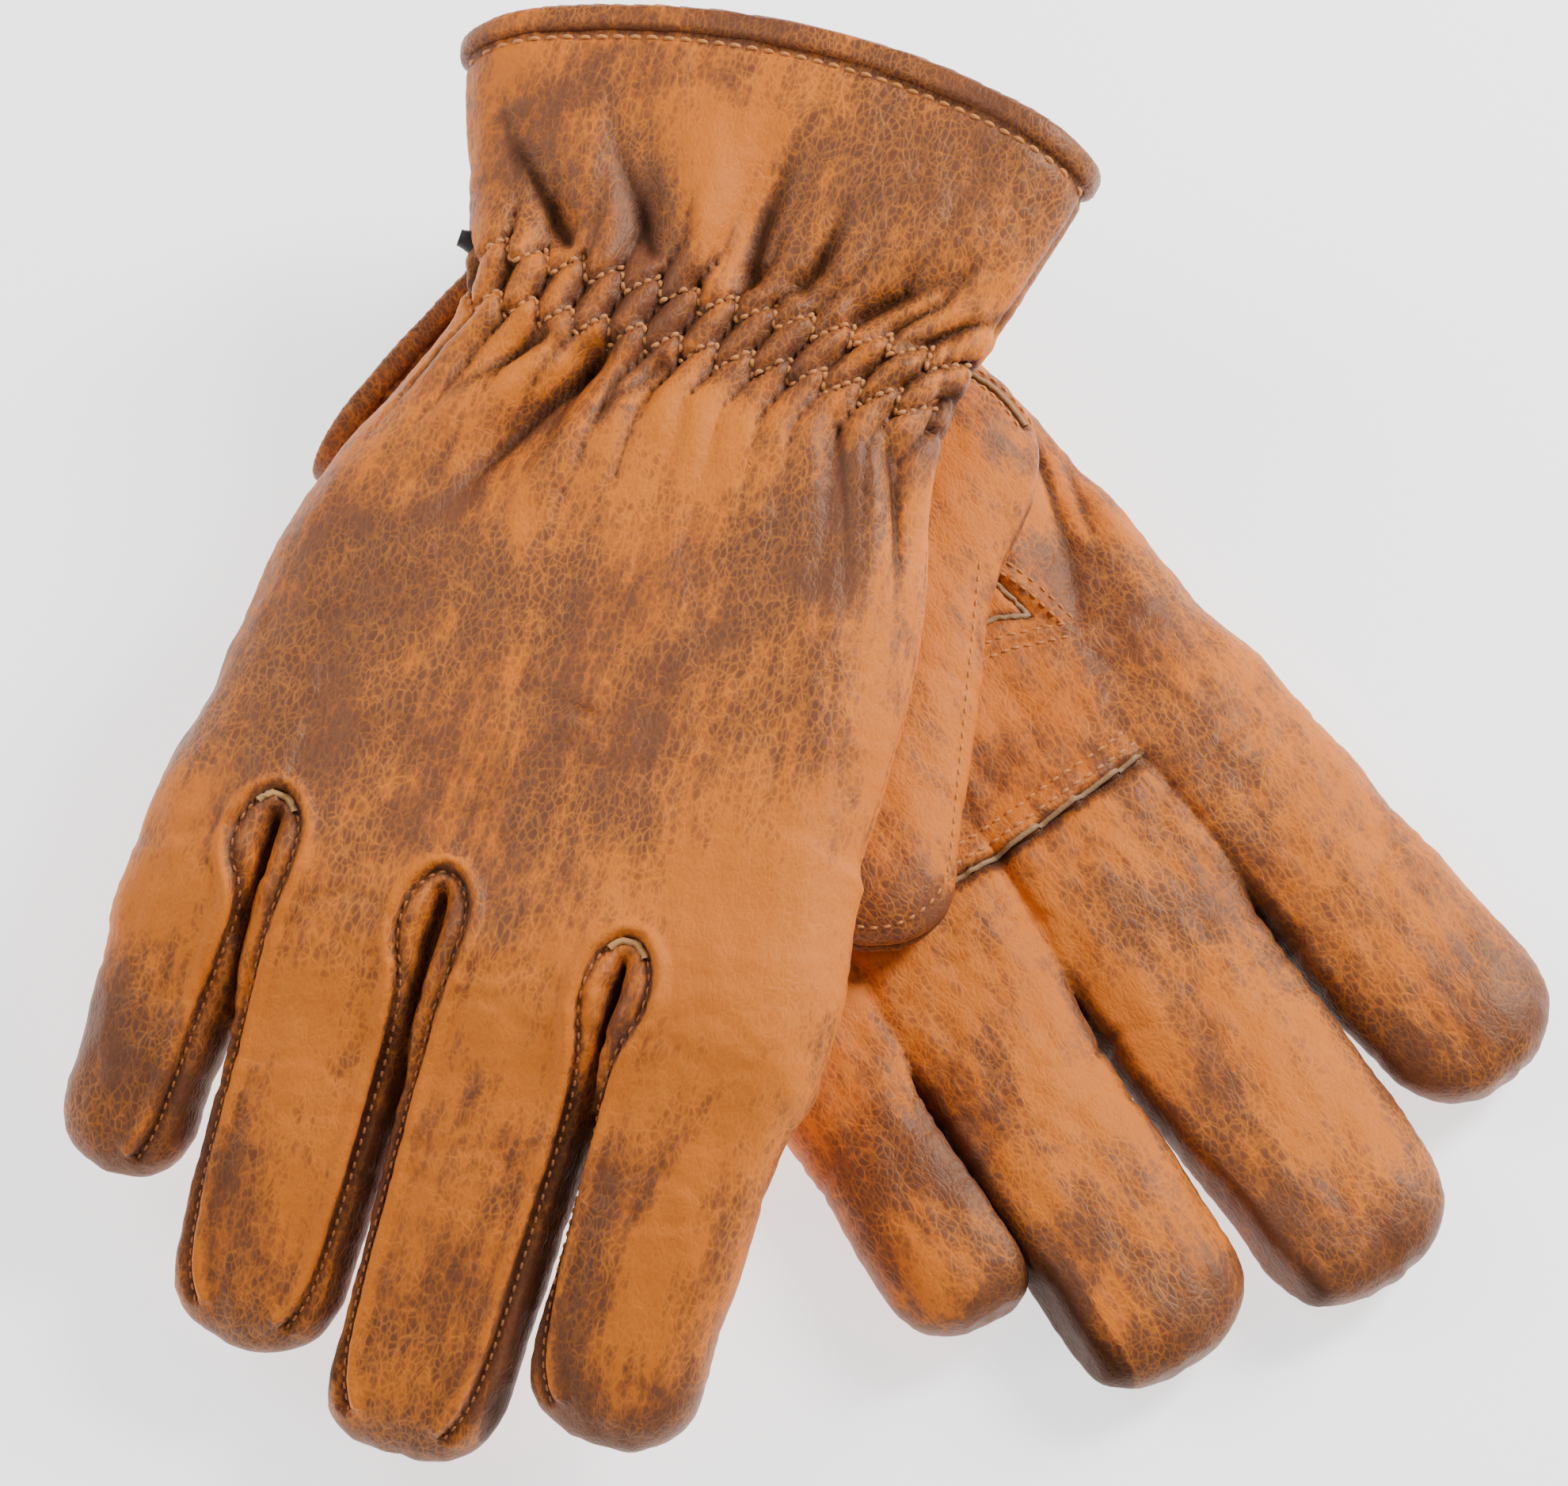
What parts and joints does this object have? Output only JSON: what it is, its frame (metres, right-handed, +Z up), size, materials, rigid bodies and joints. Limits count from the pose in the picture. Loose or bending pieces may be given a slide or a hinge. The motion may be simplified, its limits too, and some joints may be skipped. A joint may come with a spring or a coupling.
{
  "type": "riding gloves",
  "caption": "Pair of two-tone leather riding gloves with gathered wrists and rolled hems, stacked crosswise, with hinged fingers and thumbs.",
  "frame": {"origin": "centre of the left glove's flat back, where it lies on the table", "axes": "+Z up from the table, +Y towards the cuffs, +X towards the left glove's index finger"},
  "size_m": [0.2449, 0.2511, 0.0679],
  "materials": {
    "leather": "waxed two-tone, tan burnished with dark brown",
    "binding": "burnished",
    "elastic": "woven elastic",
    "cord": "braided"
  },
  "bodies": {
    "left_hand": {"left_hand_back": "leather", "left_palm": "leather", "left_thumb_keystone": "leather", "left_hem_binding": "binding", "left_wrist_elastic": "elastic"},
    "left_thumb": {"left_thumb_outer": "leather", "left_thumb_inner": "leather"},
    "left_index": {"left_index_back": "leather", "left_index_front": "leather", "left_index_fork": "leather"},
    "left_middle": {"left_middle_back": "leather", "left_middle_front": "leather", "left_middle_fork": "leather"},
    "left_ring": {"left_ring_back": "leather", "left_ring_front": "leather", "left_ring_fork": "leather"},
    "left_little": {"left_little_back": "leather", "left_little_front": "leather", "left_little_fork": "leather"},
    "right_hand": {"right_hand_back": "leather", "right_palm": "leather", "right_thumb_keystone": "leather", "right_hem_binding": "binding", "right_wrist_elastic": "elastic", "right_hang_loop": "cord"},
    "right_thumb": {"right_thumb_outer": "leather", "right_thumb_inner": "leather"},
    "right_index": {"right_index_back": "leather", "right_index_front": "leather", "right_index_fork": "leather"},
    "right_middle": {"right_middle_back": "leather", "right_middle_front": "leather", "right_middle_fork": "leather"},
    "right_ring": {"right_ring_back": "leather", "right_ring_front": "leather", "right_ring_fork": "leather"},
    "right_little": {"right_little_back": "leather", "right_little_front": "leather", "right_little_fork": "leather"}
  },
  "joints": [
    {"name": "lift", "type": "slide", "parent": "left_hand", "child": "right_hand", "axis": [0, 0, 1], "range_m": [0, 0.12]},
    {"name": "left_index_curl", "type": "hinge", "parent": "left_hand", "child": "left_index", "pos_m": [0.05568, -0.01292, 0.0095], "axis": [-0.7891, -0.6143, 0], "range_deg": [0, 35], "stiffness_Nm_per_rad": 0.2},
    {"name": "left_middle_curl", "type": "hinge", "parent": "left_hand", "child": "left_middle", "pos_m": [0.02812, -0.03064, 0.0095], "axis": [-0.8434, -0.5373, 0], "range_deg": [0, 35], "stiffness_Nm_per_rad": 0.2},
    {"name": "left_ring_curl", "type": "hinge", "parent": "left_hand", "child": "left_ring", "pos_m": [0.00279, -0.0482, 0.0095], "axis": [-0.8771, -0.4802, 0], "range_deg": [0, 35], "stiffness_Nm_per_rad": 0.2},
    {"name": "left_little_curl", "type": "hinge", "parent": "left_hand", "child": "left_little", "pos_m": [-0.01962, -0.06283, 0.0095], "axis": [-0.8763, -0.4818, 0], "range_deg": [0, 12], "stiffness_Nm_per_rad": 0.2},
    {"name": "left_thumb_swing", "type": "hinge", "parent": "left_hand", "child": "left_thumb", "pos_m": [0.00403, 0.02838, 0.0271], "axis": [0, 0, 1], "range_deg": [0, 92], "stiffness_Nm_per_rad": 0.1},
    {"name": "right_index_curl", "type": "hinge", "parent": "right_hand", "child": "right_index", "pos_m": [-0.0265, -0.0751, 0.04512], "axis": [0.971, -0.2269, 0.0757], "range_deg": [-14, 24], "stiffness_Nm_per_rad": 0.2},
    {"name": "right_middle_curl", "type": "hinge", "parent": "right_hand", "child": "right_middle", "pos_m": [-0.05739, -0.0644, 0.04294], "axis": [0.9576, -0.2791, 0.0712], "range_deg": [-14, 24], "stiffness_Nm_per_rad": 0.2},
    {"name": "right_ring_curl", "type": "hinge", "parent": "right_hand", "child": "right_ring", "pos_m": [-0.08565, -0.05192, 0.0411], "axis": [0.9604, -0.2691, 0.072], "range_deg": [-14, 24], "stiffness_Nm_per_rad": 0.2},
    {"name": "right_little_curl", "type": "hinge", "parent": "right_hand", "child": "right_little", "pos_m": [-0.1101, -0.04063, 0.03955], "axis": [0.9332, -0.3534, 0.0642], "range_deg": [-14, 24], "stiffness_Nm_per_rad": 0.2},
    {"name": "right_thumb_swing", "type": "hinge", "parent": "right_hand", "child": "right_thumb", "pos_m": [-0.0307, -0.00434, 0.03149], "axis": [-0.0921, -0.0628, 0.9938], "range_deg": [0, 25], "stiffness_Nm_per_rad": 0.1}
  ]
}
